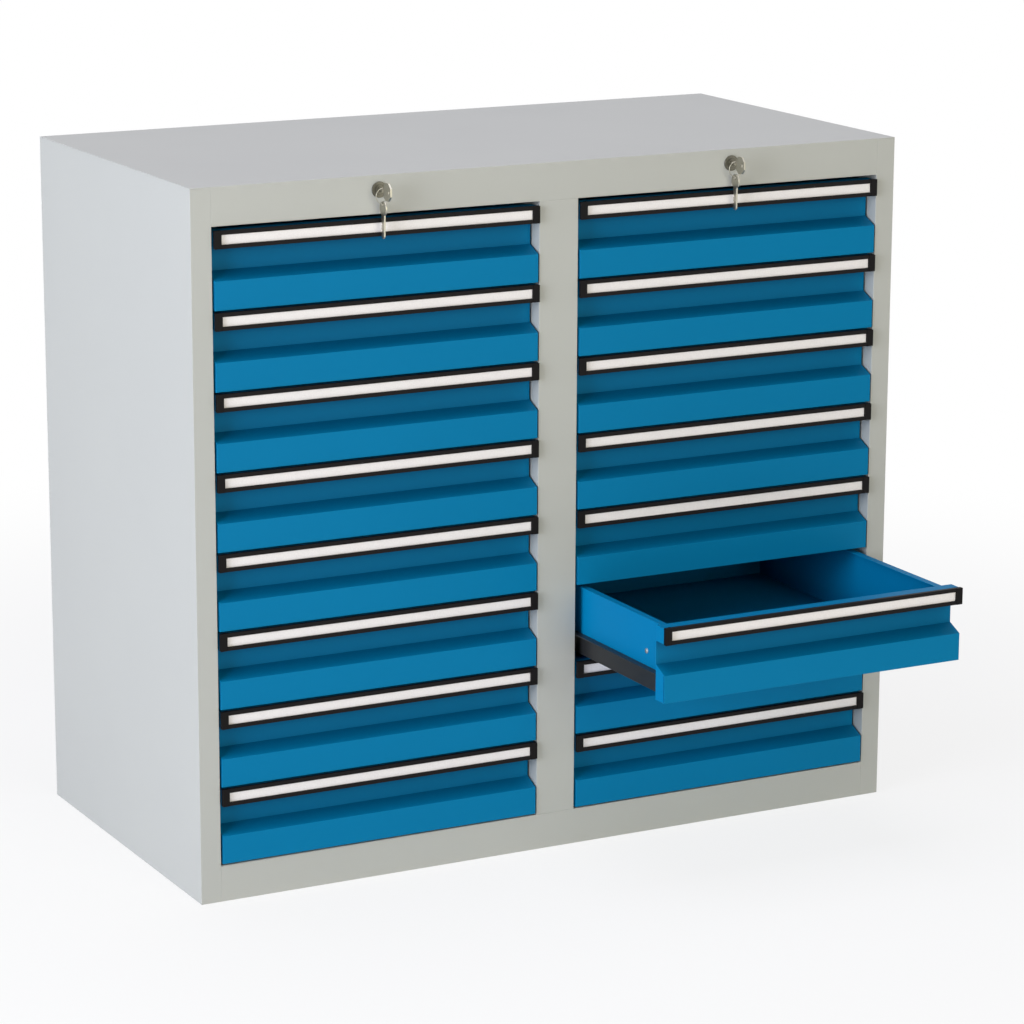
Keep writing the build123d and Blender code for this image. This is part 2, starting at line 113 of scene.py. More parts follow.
def add_node(
    tree: bpy.types.NodeTree,
    kind: str,
    settings: dict[str | int, object] | None = None,
    links: dict[str | int, bpy.types.NodeSocket] | None = None,
) -> bpy.types.Node:
    """Adds a shader node with its settings and links.

    Args:
        tree: Node tree that gets the node.
        kind: Blender's name of the kind of node.
        settings: Values of the node's own properties, or of its inputs by name or number.
        links: Outputs that feed the node's inputs, by input name or number.

    Returns:
        The new node.
    """
    node = tree.nodes.new(kind)
    for key, value in (settings or {}).items():
        if isinstance(key, str) and key not in node.inputs:
            setattr(node, key, value)
        else:
            node.inputs[key].default_value = value
    for key, source in (links or {}).items():
        tree.links.new(source, node.inputs[key])
    return node


# ---------------------------------------------------------------- finishes


@dataclass(frozen=True)
class Finish:
    """What every finish has: a name, a colour and how it shines."""

    name: str
    colour: str
    roughness: float
    metallic: float = 0.0
    ior: float = 1.5
    specular: float = 0.5

    def material(self) -> bpy.types.Material:
        """Makes the material on first use and returns the same one after that.

        Returns:
            The material with its procedural nodes.
        """
        known = bpy.data.materials.get(self.name)
        if known:
            return known
        made = bpy.data.materials.new(self.name)
        made.use_nodes = True
        shader = made.node_tree.nodes["Principled BSDF"]
        shader.inputs["Base Color"].default_value = linear(self.colour)
        shader.inputs["Roughness"].default_value = self.roughness
        shader.inputs["Metallic"].default_value = self.metallic
        shader.inputs["IOR"].default_value = self.ior
        shader.inputs["Specular IOR Level"].default_value = self.specular
        self.draw(made.node_tree, shader)
        return made

    def draw(self, tree: bpy.types.NodeTree, shader: bpy.types.Node) -> None:
        """Adds the pattern of the finish, which each kind of finish has its own of."""
        raise NotImplementedError


@dataclass(frozen=True)
class PowderCoat(Finish):
    """Polyester powder sprayed on steel and baked: an even colour with a fine orange peel.

    To the eye it is a soft sheen that breaks up a little, a trace of uneven film over a whole panel,
    a thinner film along the folds that also carries a painted highlight, and painted shade in the hollows,
    where other walls of the same piece shut out the view.
    """

    deep_colour: str = "#000000"
    # colour of the thinner film along the folds, lighter also as a painted highlight
    thin_film_and_highlight_colour: str = "#FFFFFF"
    # colour of the painted shade in the hollows
    painted_shade_colour: str = "#000000"
    peel_mm: float = 2.2  # wave length of the orange peel
    peel_height_mm: float = 0.02
    drift_mm: float = 260.0  # how far apart the film changes tone
    edge_mm: float = 1.2  # how wide the thin film and painted highlight along a fold are
    thin_film_and_highlight_share: float = 0.35
    edge_turn: float = 0.85  # how far the normals agree where the film is thinnest and the painted highlight brightest
    edge_samples: int = 4
    painted_shade_reach_mm: float = 45.0  # how far away another wall of the same piece lays painted shade
    painted_shade_share: float = 0.0
    open_view: float = 0.95  # share of open view above which no painted shade is laid
    shut_view: float = 0.5  # share of open view below which the painted shade is full
    painted_shade_samples: int = 6
    sheen_swing: float = 0.04  # how far the roughness drifts to either side

    def draw(self, tree: bpy.types.NodeTree, shader: bpy.types.Node) -> None:
        """Adds the drift of tone, the thin film with a painted highlight on edges, painted shade in hollows,
        the uneven sheen and the orange peel.

        Args:
            tree: The material's node tree.
            shader: Its main shader.
        """
        place = add_node(tree, "ShaderNodeTexCoord").outputs["Object"]
        drift = add_node(tree, "ShaderNodeTexNoise", {
            "Scale": 1 / (self.drift_mm * MM), "Detail": 3.0,
        }, {"Vector": place})
        film = add_node(tree, "ShaderNodeMix", {
            "data_type": "RGBA", MIX_FROM: linear(self.colour), MIX_TO: linear(self.deep_colour),
        }, {MIX_SHARE: drift.outputs["Fac"]})
        # Thinner film and painted highlight: the colour lightens along rounded folds.
        rounded = add_node(tree, "ShaderNodeBevel", {
            "Radius": self.edge_mm * MM, "samples": self.edge_samples,
        })
        flat = add_node(tree, "ShaderNodeNewGeometry")
        agreement = add_node(tree, "ShaderNodeVectorMath", {"operation": "DOT_PRODUCT"}, {
            0: rounded.outputs["Normal"], 1: flat.outputs["Normal"],
        })
        edge = add_node(tree, "ShaderNodeMapRange", {
            "From Min": 1.0, "From Max": self.edge_turn, "To Min": 0.0, "To Max": self.thin_film_and_highlight_share,
        }, {"Value": agreement.outputs["Value"]})
        coated = add_node(tree, "ShaderNodeMix", {"data_type": "RGBA", MIX_TO: linear(self.thin_film_and_highlight_colour)}, {
            MIX_SHARE: edge.outputs["Result"], MIX_FROM: film.outputs[MIXED],
        })
        # Painted shade: the colour darkens where other walls of the same piece shut out the view, as under
        # the grip.
        openness = add_node(tree, "ShaderNodeAmbientOcclusion", {
            "samples": self.painted_shade_samples, "only_local": True, "Distance": self.painted_shade_reach_mm * MM,
        })
        painted_shade_amount = add_node(tree, "ShaderNodeMapRange", {
            "From Min": self.open_view, "From Max": self.shut_view,
            "To Min": 0.0, "To Max": self.painted_shade_share,
        }, {"Value": openness.outputs["AO"]})
        shaded_film = add_node(tree, "ShaderNodeMix", {"data_type": "RGBA", MIX_TO: linear(self.painted_shade_colour)}, {
            MIX_SHARE: painted_shade_amount.outputs["Result"], MIX_FROM: coated.outputs[MIXED],
        })
        tree.links.new(shaded_film.outputs[MIXED], shader.inputs["Base Color"])
        sheen = add_node(tree, "ShaderNodeMapRange", {
            "To Min": self.roughness - self.sheen_swing, "To Max": self.roughness + self.sheen_swing,
        }, {"Value": drift.outputs["Fac"]})
        tree.links.new(sheen.outputs["Result"], shader.inputs["Roughness"])
        peel = add_node(tree, "ShaderNodeTexNoise", {
            "Scale": 1 / (self.peel_mm * MM), "Detail": 1.0,
        }, {"Vector": place})
        bump = add_node(tree, "ShaderNodeBump", {
            "Strength": 0.25, "Distance": self.peel_height_mm * MM,
        }, {"Height": peel.outputs["Fac"]})
        tree.links.new(bump.outputs["Normal"], shader.inputs["Normal"])


@dataclass(frozen=True)
class ExtrudedPvc(Finish):
    """Rigid PVC pushed through a die: satin, with hair-fine lines along its length."""

    worn_colour: str = "#3A3638"
    line_mm: float = 0.7  # die lines are finer; this is as coarse as they need to show
    line_height_mm: float = 0.02
    run_mm: float = 90.0  # how far one line runs

    def draw(self, tree: bpy.types.NodeTree, shader: bpy.types.Node) -> None:
        """Adds the die lines, in tone and in relief.

        Args:
            tree: The material's node tree.
            shader: Its main shader.
        """
        place = add_node(tree, "ShaderNodeTexCoord").outputs["Object"]
        along = add_node(tree, "ShaderNodeMapping", {
            "Scale": (1 / (self.run_mm * MM), 1 / (self.line_mm * MM), 1 / (self.line_mm * MM)),
        }, {"Vector": place})
        lines = add_node(tree, "ShaderNodeTexNoise", {"Scale": 1.0, "Detail": 2.0}, {
            "Vector": along.outputs["Vector"],
        })
        tone = add_node(tree, "ShaderNodeMix", {
            "data_type": "RGBA", MIX_FROM: linear(self.colour), MIX_TO: linear(self.worn_colour),
        }, {MIX_SHARE: lines.outputs["Fac"]})
        tree.links.new(tone.outputs[MIXED], shader.inputs["Base Color"])
        bump = add_node(tree, "ShaderNodeBump", {
            "Strength": 0.2, "Distance": self.line_height_mm * MM,
        }, {"Height": lines.outputs["Fac"]})
        tree.links.new(bump.outputs["Normal"], shader.inputs["Normal"])


@dataclass(frozen=True)
class SatinPlastic(Finish):
    """ABS from a spark-eroded mould, or nylon as turned: satin with an even fine grain."""

    grain_mm: float = 0.6  # the mould's grain is finer; this is as coarse as it needs to show
    grain_height_mm: float = 0.03
    smoother: float = 0.06  # how far the roughness falls in the middle of a grain
    rougher: float = 0.1  # how far it rises between the grains

    def draw(self, tree: bpy.types.NodeTree, shader: bpy.types.Node) -> None:
        """Adds the grain.

        Args:
            tree: The material's node tree.
            shader: Its main shader.
        """
        place = add_node(tree, "ShaderNodeTexCoord").outputs["Object"]
        grain = add_node(tree, "ShaderNodeTexVoronoi", {"Scale": 1 / (self.grain_mm * MM)}, {"Vector": place})
        sheen = add_node(tree, "ShaderNodeMapRange", {
            "To Min": self.roughness - self.smoother, "To Max": self.roughness + self.rougher,
        }, {"Value": grain.outputs["Distance"]})
        tree.links.new(sheen.outputs["Result"], shader.inputs["Roughness"])
        bump = add_node(tree, "ShaderNodeBump", {
            "Strength": 0.3, "Distance": self.grain_height_mm * MM,
        }, {"Height": grain.outputs["Distance"]})
        tree.links.new(bump.outputs["Normal"], shader.inputs["Normal"])


@dataclass(frozen=True)
class LabelCard(Finish):
    """White card under a clear film: nearly plain, with a trace of fibre and a soft gloss."""

    fibre_colour: str = "#E8E2E6"
    fibre_mm: float = 1.5  # fibres are finer; this is as coarse as they need to show

    def draw(self, tree: bpy.types.NodeTree, shader: bpy.types.Node) -> None:
        """Adds the fibre of the card.

        Args:
            tree: The material's node tree.
            shader: Its main shader.
        """
        place = add_node(tree, "ShaderNodeTexCoord").outputs["Object"]
        fibre = add_node(tree, "ShaderNodeTexNoise", {
            "Scale": 1 / (self.fibre_mm * MM), "Detail": 4.0,
        }, {"Vector": place})
        tone = add_node(tree, "ShaderNodeMix", {
            "data_type": "RGBA", MIX_FROM: linear(self.colour), MIX_TO: linear(self.fibre_colour),
        }, {MIX_SHARE: fibre.outputs["Fac"]})
        tree.links.new(tone.outputs[MIXED], shader.inputs["Base Color"])


@dataclass(frozen=True)
class ZincPlate(Finish):
    """Hot-dip galvanised steel: grey metal whose crystals shine a little apart from each other."""

    dull_colour: str = "#8E9397"
    crystal_mm: float = 6.0
    smoother: float = 0.08  # how far the roughness falls on the brightest crystals
    rougher: float = 0.1  # how far it rises on the dullest ones

    def draw(self, tree: bpy.types.NodeTree, shader: bpy.types.Node) -> None:
        """Adds the crystals, in tone and in sheen.

        Args:
            tree: The material's node tree.
            shader: Its main shader.
        """
        place = add_node(tree, "ShaderNodeTexCoord").outputs["Object"]
        crystals = add_node(tree, "ShaderNodeTexVoronoi", {
            "Scale": 1 / (self.crystal_mm * MM),
        }, {"Vector": place})
        shade = add_node(tree, "ShaderNodeSeparateColor", {}, {"Color": crystals.outputs["Color"]})
        tone = add_node(tree, "ShaderNodeMix", {
            "data_type": "RGBA", MIX_FROM: linear(self.colour), MIX_TO: linear(self.dull_colour),
        }, {MIX_SHARE: shade.outputs["Red"]})
        tree.links.new(tone.outputs[MIXED], shader.inputs["Base Color"])
        sheen = add_node(tree, "ShaderNodeMapRange", {
            "To Min": self.roughness - self.smoother, "To Max": self.roughness + self.rougher,
        }, {"Value": shade.outputs["Green"]})
        tree.links.new(sheen.outputs["Result"], shader.inputs["Roughness"])


@dataclass(frozen=True)
class NickelPlate(Finish):
    """Nickel over die-cast or brass parts that are handled: warm grey metal with fine rub marks."""

    rubbed_colour: str = "#A09B8C"
    rub_mm: float = 0.5  # rub marks are finer; this is as coarse as they need to show
    rub_length_mm: float = 9.0
    rub_tilt: float = radians(35)  # from upright, towards the cabinet's width
    smoother: float = 0.08  # how far the roughness falls where the plate is bright
    rougher: float = 0.12  # how far it rises in a rub mark

    def draw(self, tree: bpy.types.NodeTree, shader: bpy.types.Node) -> None:
        """Adds the rub marks, in tone and in sheen.

        Args:
            tree: The material's node tree.
            shader: Its main shader.
        """
        place = add_node(tree, "ShaderNodeTexCoord").outputs["Object"]
        along = add_node(tree, "ShaderNodeMapping", {
            "Rotation": (0.0, self.rub_tilt, 0.0),
            "Scale": (1 / (self.rub_mm * MM), 1 / (self.rub_mm * MM), 1 / (self.rub_length_mm * MM)),
        }, {"Vector": place})
        rubs = add_node(tree, "ShaderNodeTexNoise", {"Scale": 1.0, "Detail": 3.0}, {
            "Vector": along.outputs["Vector"],
        })
        tone = add_node(tree, "ShaderNodeMix", {
            "data_type": "RGBA", MIX_FROM: linear(self.colour), MIX_TO: linear(self.rubbed_colour),
        }, {MIX_SHARE: rubs.outputs["Fac"]})
        tree.links.new(tone.outputs[MIXED], shader.inputs["Base Color"])
        sheen = add_node(tree, "ShaderNodeMapRange", {
            "To Min": self.roughness - self.smoother, "To Max": self.roughness + self.rougher,
        }, {"Value": rubs.outputs["Fac"]})
        tree.links.new(sheen.outputs["Result"], shader.inputs["Roughness"])


@dataclass(frozen=True)
class StudioPaper(Finish):
    """White seamless paper. It shows as white to the eye and in reflections, and keeps a soft shadow.

    The shadow fades into plain white away from the cabinet, so that no horizon shows.
    """

    shadow_share: float = 0.2
    fade_start_mm: float = 735.0  # from the middle of the floor to where the shadow starts to fade
    fade_mm: float = 2100.0  # from the middle of the floor to where the paper is plain white

    def draw(self, tree: bpy.types.NodeTree, shader: bpy.types.Node) -> None:
        """Mixes the lit paper with plain white for the rays that see it.

        Args:
            tree: The material's node tree.
            shader: Its main shader.
        """
        ray = add_node(tree, "ShaderNodeLightPath")
        gloss = add_node(tree, "ShaderNodeMath", {"operation": "MAXIMUM"}, {
            0: ray.outputs["Is Camera Ray"], 1: ray.outputs["Is Glossy Ray"],
        })
        seen = add_node(tree, "ShaderNodeMath", {"operation": "MAXIMUM"}, {
            0: gloss.outputs[0], 1: ray.outputs["Is Transmission Ray"],
        })
        place = add_node(tree, "ShaderNodeTexCoord").outputs["Object"]
        away = add_node(tree, "ShaderNodeVectorMath", {"operation": "LENGTH"}, {0: place})
        plain = add_node(tree, "ShaderNodeMapRange", {
            "interpolation_type": "SMOOTHSTEP",
            "From Min": self.fade_start_mm * MM, "From Max": self.fade_mm * MM,
            "To Min": 1 - self.shadow_share, "To Max": 1.0,
        }, {"Value": away.outputs["Value"]})
        share = add_node(tree, "ShaderNodeMath", {"operation": "MULTIPLY"}, {
            0: seen.outputs[0], 1: plain.outputs["Result"],
        })
        white = add_node(tree, "ShaderNodeEmission", {"Color": linear("#FFFFFF"), "Strength": 1.0})
        mixed = add_node(tree, "ShaderNodeMixShader", {}, {
            0: share.outputs[0], 1: shader.outputs[0], 2: white.outputs[0],
        })
        tree.links.new(mixed.outputs[0], tree.nodes["Material Output"].inputs["Surface"])


# Polyester powder on the folded sheets of the carcass: a light grey, a little warm, with a soft sheen
# and a painted highlight where the film thins along the folds.
CARCASS_GREY = PowderCoat(
    "powder_coated_steel_light_grey", "#B9BAB6", 0.5, deep_colour="#B5B6B3", thin_film_and_highlight_colour="#C6C6C2",
)

# Matt polyester powder on the drawers: a strong blue that mirrors little, with painted shade deep in the
# recesses and a painted highlight where the film thins along the folds.
DRAWER_BLUE = PowderCoat(
    "powder_coated_steel_blue", "#007AAC", 0.5, deep_colour="#0076A7", thin_film_and_highlight_colour="#1A88B6",
    painted_shade_colour="#00527C", specular=0.08, thin_film_and_highlight_share=0.3, painted_shade_share=0.9,
)

# Epoxy powder on the runners and rails: black, shinier, grey along the folds where the film is rubbed thin,
# which also stands as a painted highlight.
RUNNER_BLACK = PowderCoat(
    "epoxy_coated_steel_black", "#1C1D1F", 0.4, deep_colour="#232426", thin_film_and_highlight_colour="#4A4B4D", peel_mm=1.6,
)

# Rigid PVC of the grip strips: a dead black that lets the label stand out.
GRIP_BLACK = ExtrudedPvc("extruded_pvc_black", "#131112", 0.5, specular=0.1, worn_colour="#1A1718")

# Moulded ABS of the end caps and bar guides: the same black without the die lines.
CAP_BLACK = SatinPlastic("moulded_abs_black", "#121011", 0.5, specular=0.1)

# Card of the label strips: the brightest thing on the cabinet.
LABEL_WHITE = LabelCard("label_card_white", "#FFFCFE", 0.35)

# Galvanised steel of the rods, cranks, bars, pins and screws: mid grey with a cool, broken shine.
BAR_ZINC = ZincPlate("galvanised_steel", "#A9AEB1", 0.42, metallic=1.0)

# Dull nickel on the die-cast locks: a dark, warm grey spot in the top rail.
LOCK_NICKEL = NickelPlate("nickel_plated_zinc_dull", "#595750", 0.38, metallic=1.0, rubbed_colour="#6E6C62")

# Bright nickel on the brass keys and rings: pale and warm, with a lively edge.
KEY_NICKEL = NickelPlate("nickel_plated_brass", "#A5A194", 0.34, metallic=1.0, rubbed_colour="#BDBAAE")

# Natural nylon of the rollers: creamy and a little waxy.
ROLLER_NYLON = SatinPlastic("turned_nylon_natural", "#E4DFD2", 0.4, ior=1.53, grain_mm=1.0)

# Paper under the cabinet: white, with the cabinet's soft shadow.
PAPER_WHITE = StudioPaper("seamless_paper_white", "#F2F2F2", 0.9)


# ---------------------------------------------------------------- mesh helpers


def dress(piece: bpy.types.Object, *finishes: Finish) -> None:
    """Gives a piece its finishes, one material slot each.

    Args:
        piece: Node or added piece.
        finishes: The finishes, the one for most of the piece first.
    """
    piece.data.materials.clear()
    for finish in finishes:
        piece.data.materials.append(finish.material())


def finish_faces(piece: bpy.types.Object, number: int, belongs: Callable[[Vector], bool]) -> None:
    """Gives one of the piece's finishes to the faces whose corners all pass a test.

    Args:
        piece: Node or added piece.
        number: Place of the finish among the piece's finishes.
        belongs: Test of a corner's position in the cabinet's frame.
    """
    corners = piece.data.vertices
    for face in piece.data.polygons:
        if all(belongs(corners[index].co) for index in face.vertices):
            face.material_index = number


def soften(piece: bpy.types.Object, width_mm: float, segments: int = 2) -> None:
    """Rounds the piece's sharp edges, as a fold, a punched edge or a mould does.

    Args:
        piece: Node or added piece.
        width_mm: Width of the rounding.
        segments: Number of facets across it.
    """
    weld = piece.modifiers.new("joined_corners", "WELD")
    weld.merge_threshold = WELD
    bevel = piece.modifiers.new("rounded_edges", "BEVEL")
    bevel.width = width_mm * MM
    bevel.segments = segments
    bevel.limit_method = "ANGLE"
    bevel.angle_limit = FOLD_ANGLE
    bevel.harden_normals = True


def add_piece(
    name: str,
    corners: Sequence[Vector],
    faces: Sequence[Sequence[int]],
    finish: Finish,
    body: str,
    smooth: bool = False,
) -> bpy.types.Object:
    """Makes a piece from corners and faces, dresses it and lets it ride on its body.

    Args:
        name: Name of the piece.
        corners: Corner positions in the cabinet's frame, in metres.
        faces: Corner numbers of each face.
        finish: Finish of the whole piece.
        body: Body that the piece moves with.
        smooth: Whether its faces are shaded as one curve.

    Returns:
        The new piece.
    """
    mesh = bpy.data.meshes.new(name)
    mesh.from_pydata([tuple(corner) for corner in corners], [], [tuple(face) for face in faces])
    mesh.validate()
    if smooth:
        mesh.shade_smooth()
    piece = bpy.data.objects.new(name, mesh)
    bpy.context.collection.objects.link(piece)
    dress(piece, finish)
    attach(piece, body)
    return piece


@dataclass
class Shape:
    """Corners and faces that grow as turned, wound and flat forms are added."""

    corners: list[Vector] = field(default_factory=list)
    faces: list[tuple[int, ...]] = field(default_factory=list)

    def add_turned(self, centre: Vector, axis: Vector, outline: Sequence[Point], steps: int = 40) -> None:
        """Adds a form turned about an axis.

        Args:
            centre: Origin of the outline, on the axis.
            axis: Direction of the axis.
            outline: Distance along the axis and radius of each corner, from one end to the other, in metres.
            steps: Number of facets round the axis.
        """
        turn = axis.to_track_quat("Z", "Y").to_matrix()
        start = len(self.corners)
        for along, radius in outline:
            for step in range(steps):
                angle = 2 * pi * step / steps
                self.corners.append(centre + turn @ Vector((radius * cos(angle), radius * sin(angle), along)))
        for ring in range(len(outline) - 1):
            for step in range(steps):
                after = (step + 1) % steps
                near, far = start + ring * steps, start + (ring + 1) * steps
                self.faces.append((near + step, near + after, far + after, far + step))
        last = start + (len(outline) - 1) * steps
        self.faces.append(tuple(start + step for step in reversed(range(steps))))
        self.faces.append(tuple(last + step for step in range(steps)))

    def add_wound(self, path: Sequence[Vector], radius: float, across: Vector, steps: int = 10) -> None:
        """Adds a round wire along a path that goes round a direction.

        Args:
            path: Points of the wire's middle.
            radius: Radius of the wire.
            across: Direction that the path goes round.
            steps: Number of facets round the wire.
        """
        start = len(self.corners)
        for number, point in enumerate(path):
            before, after = path[max(number - 1, 0)], path[min(number + 1, len(path) - 1)]
            outward = (after - before).cross(across).normalized()
            for step in range(steps):
                angle = 2 * pi * step / steps
                self.corners.append(point + radius * (cos(angle) * outward + sin(angle) * across))
        for number in range(len(path) - 1):
            for step in range(steps):
                after = (step + 1) % steps
                near, far = start + number * steps, start + (number + 1) * steps
                self.faces.append((near + step, far + step, far + after, near + after))
        last = start + (len(path) - 1) * steps
        self.faces.append(tuple(start + step for step in range(steps)))
        self.faces.append(tuple(last + step for step in reversed(range(steps))))

    def add_plate(self, centre: Vector, outline: Sequence[Point], thickness: float) -> None:
        """Adds a flat plate that lies square to the cabinet's width.

        Args:
            centre: Origin of the outline, in the middle of the plate's thickness.
            outline: Depth and height of each corner, anticlockwise seen from the right.
            thickness: Thickness of the plate.
        """
        start = len(self.corners)
        count = len(outline)
        for side in (-0.5, 0.5):
            for depth, height in outline:
                self.corners.append(centre + Vector((side * thickness, depth, height)))
        self.faces.append(tuple(start + number for number in reversed(range(count))))
        self.faces.append(tuple(start + count + number for number in range(count)))
        for number in range(count):
            after = (number + 1) % count
            self.faces.append((start + number, start + after, start + count + after, start + count + number))


# ---------------------------------------------------------------- sub-assemblies


@dataclass
class Roller:
    """Nylon roller on a steel pin, as the rails and the runners carry them."""

    radius_mm: float = 10.1
    width_mm: float = 7.9
    groove_mm: float = 0.6
    dish_shares: tuple[float, ...] = (0.72, 0.68, 0.5, 0.46)  # radii of the dish in its face, outer first
    pin_radius_mm: float = 3.2
    pin_head_mm: float = 0.9
    pin_dome: tuple[Point, ...] = ((0.0, 1.0), (0.5, 1.0), (1.0, 0.6))  # height and radius as shares

    def turn(self, tyres: Shape, pins: Shape, foot: Vector, outward: float) -> None:
        """Adds one roller to the shapes of its body.

        Args:
            tyres: Shape that gets the nylon.
            pins: Shape that gets the pin's head.
            foot: Middle of the face by which the roller sits on its sheet.
            outward: Side to which it stands out, 1 for right and -1 for left.
        """
        axis = Vector((outward, 0, 0))
        radius, width, groove = self.radius_mm * MM, self.width_mm * MM, self.groove_mm * MM
        rim, brim, floor, hub = (radius * share for share in self.dish_shares)
        tyres.add_turned(foot, axis, [
            (0.0, radius - groove), (groove, radius), (width - groove, radius), (width, radius - groove),
            (width, rim), (width - groove, brim), (width - groove, floor), (width, hub),
        ])
        head, pin = self.pin_head_mm * MM, self.pin_radius_mm * MM
        pins.add_turned(foot, axis, [
            (width + head * height, pin * spread) for height, spread in self.pin_dome
        ], steps=HEAD_STEPS)


@dataclass
class Carcass:
    """The fixed sheet metal with its rails and the barrels of the locks."""

    body: str = "carcass"
    edge_mm: float = 0.3
    rail_edge_mm: float = 0.3
    barrel_reach_mm: float = 10.1
    barrel_depth_mm: float = 40.0
    guide_depth_mm: float = 27.5
    guide_half_width_mm: float = 30.0
    roller: Roller = field(default_factory=Roller)
    roller_set_back_mm: float = 35.0
    roller_axis_mm: float = 16.5  # above the foot of the drawer's runner
    rail_gap_mm: float = 1.0  # from the runner's outer edge to the roller's foot

    def dress_sheets(self) -> None:
        """Dresses the painted sheets, the barrels and the moulded guides."""
        for name in ("body_wrap", "top_panel", "base_panel", "centre_wall", "rear_posts"):
            sheet = frame["nodes"][name]
            dress(sheet, CARCASS_GREY, LOCK_NICKEL, CAP_BLACK)
            soften(sheet, self.edge_mm)
            LOG.info("dressed %s", name)
        top = frame["nodes"]["top_panel"]
        wrap = frame["nodes"]["body_wrap"]
        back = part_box("body_wrap")[1].y
        for column in Column:
            axis = lock_axis(column)
            finish_faces(top, 1, lambda corner, axis=axis: (
                Vector((corner.x - axis.x, 0, corner.z - axis.z)).length < self.barrel_reach_mm * MM
                and corner.y < axis.y + self.barrel_depth_mm * MM))
            finish_faces(wrap, 2, lambda corner, axis=axis: (
                abs(corner.x - axis.x) < self.guide_half_width_mm * MM
                and back - self.guide_depth_mm * MM < corner.y))

    def dress_rails(self) -> None:
        """Dresses the rails and adds their nylon rollers and pins."""
        rails = frame["nodes"]["cabinet_rails"]
        dress(rails, RUNNER_BLACK)
        soften(rails, self.rail_edge_mm, segments=1)
        tyres, pins = Shape(), Shape()
        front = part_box("body_wrap")[0].y
        for name in frame["nodes"]:
            if not name.startswith("runners_"):
                continue
            low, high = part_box(name)
            for side, edge in ((-1.0, low.x), (1.0, high.x)):
                foot = Vector((
                    edge + side * self.rail_gap_mm * MM, front + self.roller_set_back_mm * MM,
                    low.z + self.roller_axis_mm * MM))
                self.roller.turn(tyres, pins, foot, -side)
        add_piece("rail_rollers", tyres.corners, tyres.faces, ROLLER_NYLON, self.body)
        add_piece("rail_roller_pins", pins.corners, pins.faces, BAR_ZINC, self.body)
        LOG.info("dressed cabinet_rails with %d roller corners", len(tyres.corners))


@dataclass
class Drawer:
    """One drawer: box with its folded front, grip strip with the label, and runners."""

    column: Column
    number: int
    edge_mm: float = 0.4
    label_front_mm: float = 3.3  # from the caps' front to the label's face
    label_back_mm: float = 4.3  # and to its back
    cap_width_mm: float = 9.0
    runner_edge_mm: float = 0.3
    runner_sheet_mm: float = 1.2
    flange_mm: float = 9.1  # how far the runner's flange stands out past its wall
    roller: Roller = field(default_factory=Roller)
    roller_inset_mm: float = 35.0  # from the runner's rear end
    roller_axis_mm: float = 16.5  # above the runner's foot
    screw_radius_mm: float = 3.6
    screw_head_mm: float = 1.6
    screw_dome: tuple[Point, ...] = ((0.0, 1.0), (0.5, 0.95), (1.0, 0.5))  # height and radius as shares
    screw_set_back_mm: float = 37.0  # from the runner's front end
    screw_height_mm: float = 47.0  # above the runner's foot

    @property
    def label(self) -> str:
        """Column and number, as the node names have them."""
        return f"{self.column.value}_{self.number}"

    @property
    def body(self) -> str:
        """Body that the drawer's pieces move with."""
        return f"drawer_{self.label}"

    def dress_box(self) -> None:
        """Dresses the box with its folded front."""
        box = frame["nodes"][f"drawer_box_{self.label}"]
        dress(box, DRAWER_BLUE)
        soften(box, self.edge_mm)

    def dress_grip(self) -> None:
        """Dresses the grip strip, its end caps and its label."""
        name = f"grip_{self.label}"
        grip = frame["nodes"][name]
        dress(grip, GRIP_BLACK, LABEL_WHITE, CAP_BLACK)
        low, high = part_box(name)
        cap = self.cap_width_mm * MM + TOUCH
        finish_faces(grip, 1, lambda corner: (
            self.label_front_mm * MM - TOUCH < corner.y - low.y < self.label_back_mm * MM + TOUCH))
        finish_faces(grip, 2, lambda corner: corner.x < low.x + cap)
        finish_faces(grip, 2, lambda corner: corner.x > high.x - cap)
        soften(grip, self.edge_mm)

    def dress_runners(self) -> None:
        """Dresses the runners and adds their rollers, pins and the screws of the front."""
        name = f"runners_{self.label}"
        runners = frame["nodes"][name]
        dress(runners, RUNNER_BLACK)
        soften(runners, self.runner_edge_mm, segments=1)
        low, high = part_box(name)
        tyres, pins = Shape(), Shape()
        radius, head = self.screw_radius_mm * MM, self.screw_head_mm * MM
        dome = [(head * height, radius * spread) for height, spread in self.screw_dome]
        for side, edge in ((-1.0, low.x), (1.0, high.x)):
            wall = edge - side * self.flange_mm * MM
            self.roller.turn(tyres, pins, Vector((
                wall, high.y - self.roller_inset_mm * MM, low.z + self.roller_axis_mm * MM)), side)
            screw = Vector((
                wall - side * self.runner_sheet_mm * MM, low.y + self.screw_set_back_mm * MM,
                low.z + self.screw_height_mm * MM))
            pins.add_turned(screw, Vector((side, 0, 0)), dome, steps=HEAD_STEPS)
        add_piece(
            f"runner_rollers_{self.label}", tyres.corners, tyres.faces, ROLLER_NYLON, self.body)
        add_piece(
            f"runner_pins_{self.label}", pins.corners, pins.faces, BAR_ZINC, self.body)

    def build(self) -> None:
        """Dresses the whole drawer."""
        self.dress_box()
        self.dress_grip()
        self.dress_runners()
        LOG.info("dressed drawer %s", self.label)


